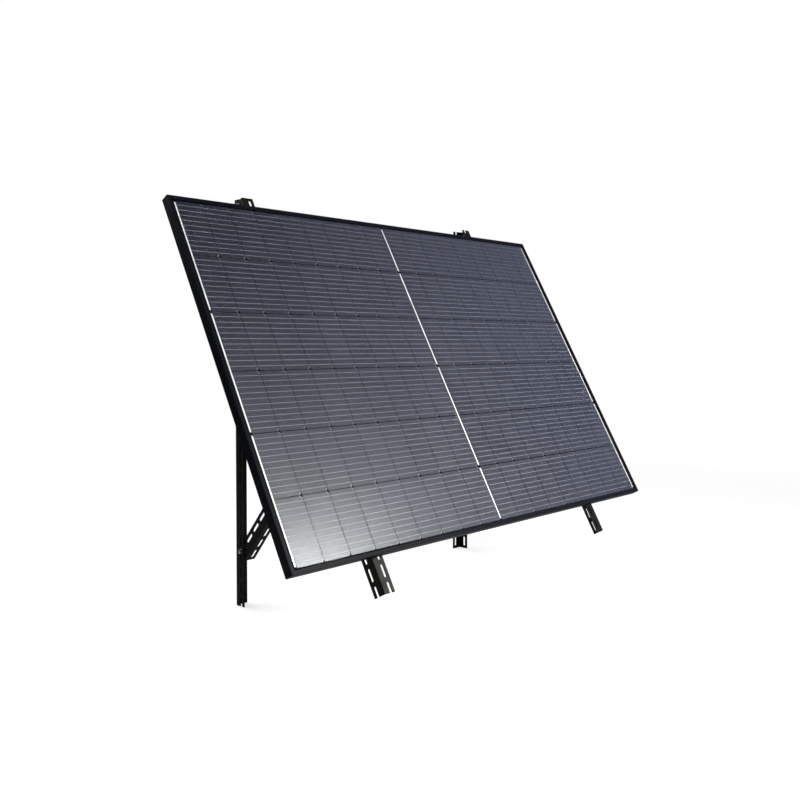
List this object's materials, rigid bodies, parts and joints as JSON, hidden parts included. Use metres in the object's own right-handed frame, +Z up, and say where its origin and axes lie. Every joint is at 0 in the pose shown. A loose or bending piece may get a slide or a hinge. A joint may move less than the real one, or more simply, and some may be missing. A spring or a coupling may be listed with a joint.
{
  "type": "solar panel",
  "caption": "Framed glass photovoltaic module with half-cut cells on a wall bracket of slotted angle bars, whose two posts, rails and struts set its tilt.",
  "frame": {"origin": "on the wall plane, midway between the two posts, level with the posts' lower ends", "axes": "+X along the module's long side, +Y out of the module's back into the wall, +Z up; the module faces -Y and upward"},
  "size_m": [1.722, 0.6692, 1.2935],
  "materials": {
    "black_anodised_frame": "black anodised, satin",
    "bare_aluminium": "bare, satin",
    "black_silicone": "matt sealant",
    "solar_glass": "tempered, lightly textured, coated against glare",
    "clear_encapsulant": "clear cured film",
    "backsheet": "black laminated film",
    "silicon_cell": "dark blue-black silicon with fine silver fingers",
    "tinned_wire": "tinned copper",
    "tinned_ribbon": "bright tinned copper ribbon",
    "black_box_plastic": "moulded, fine spark texture",
    "terminal_metal": "tinned brass",
    "diode_body": "moulded epoxy",
    "black_powder_coat": "black powder coat, satin, fine orange peel",
    "zinc_plated": "bright zinc plate"
  },
  "bodies": {
    "posts": {"post_left": "black_powder_coat", "post_right": "black_powder_coat", "tilt_bolts": "zinc_plated", "tilt_nuts": "zinc_plated", "tilt_washers": "zinc_plated"},
    "module": {"backsheet": "backsheet", "bus_ribbons": "tinned_ribbon", "bypass_diodes": "diode_body", "cable_glands": "black_box_plastic", "cell_wires": "tinned_wire", "corner_keys": "bare_aluminium", "frame_bottom": "black_anodised_frame", "frame_left": "black_anodised_frame", "frame_right": "black_anodised_frame", "frame_seal": "black_silicone", "frame_top": "black_anodised_frame", "front_encapsulant": "clear_encapsulant", "front_glass": "solar_glass", "junction_box_bases": "black_box_plastic", "junction_box_lids": "black_box_plastic", "junction_terminals": "terminal_metal", "module_bolts": "zinc_plated", "module_nuts": "zinc_plated", "module_washers": "zinc_plated", "rail_left": "black_powder_coat", "rail_right": "black_powder_coat", "rear_encapsulant": "clear_encapsulant", "solar_cells": "silicon_cell", "strut_pivot_bolts": "zinc_plated", "strut_pivot_nuts": "zinc_plated", "strut_pivot_spacers": "zinc_plated", "strut_pivot_washers": "zinc_plated"},
    "brace_left": {"strut_left": "black_powder_coat", "foot_bolt_left": "zinc_plated", "foot_nut_left": "zinc_plated", "foot_washers_left": "zinc_plated"},
    "brace_right": {"strut_right": "black_powder_coat", "foot_bolt_right": "zinc_plated", "foot_nut_right": "zinc_plated", "foot_washers_right": "zinc_plated"}
  },
  "joints": [
    {"name": "module_tilt", "type": "hinge", "parent": "posts", "child": "module", "pos_m": [0, -0.027, 1.2682], "axis": [-1, 0, 0], "range_deg": [-12, 7]},
    {"name": "strut_left_swing", "type": "hinge", "parent": "module", "child": "brace_left", "pos_m": [-0.556, -0.39109, 0.61136], "axis": [1, 0, 0], "range_deg": [-30, 17.5]},
    {"name": "strut_right_swing", "type": "hinge", "parent": "module", "child": "brace_right", "pos_m": [0.556, -0.39109, 0.61136], "axis": [1, 0, 0], "range_deg": [-30, 17.5]}
  ],
  "couplings": [
    {"joint": "strut_left_swing", "follows": "module_tilt", "ratio": 2.47},
    {"joint": "strut_right_swing", "follows": "module_tilt", "ratio": 2.47}
  ]
}
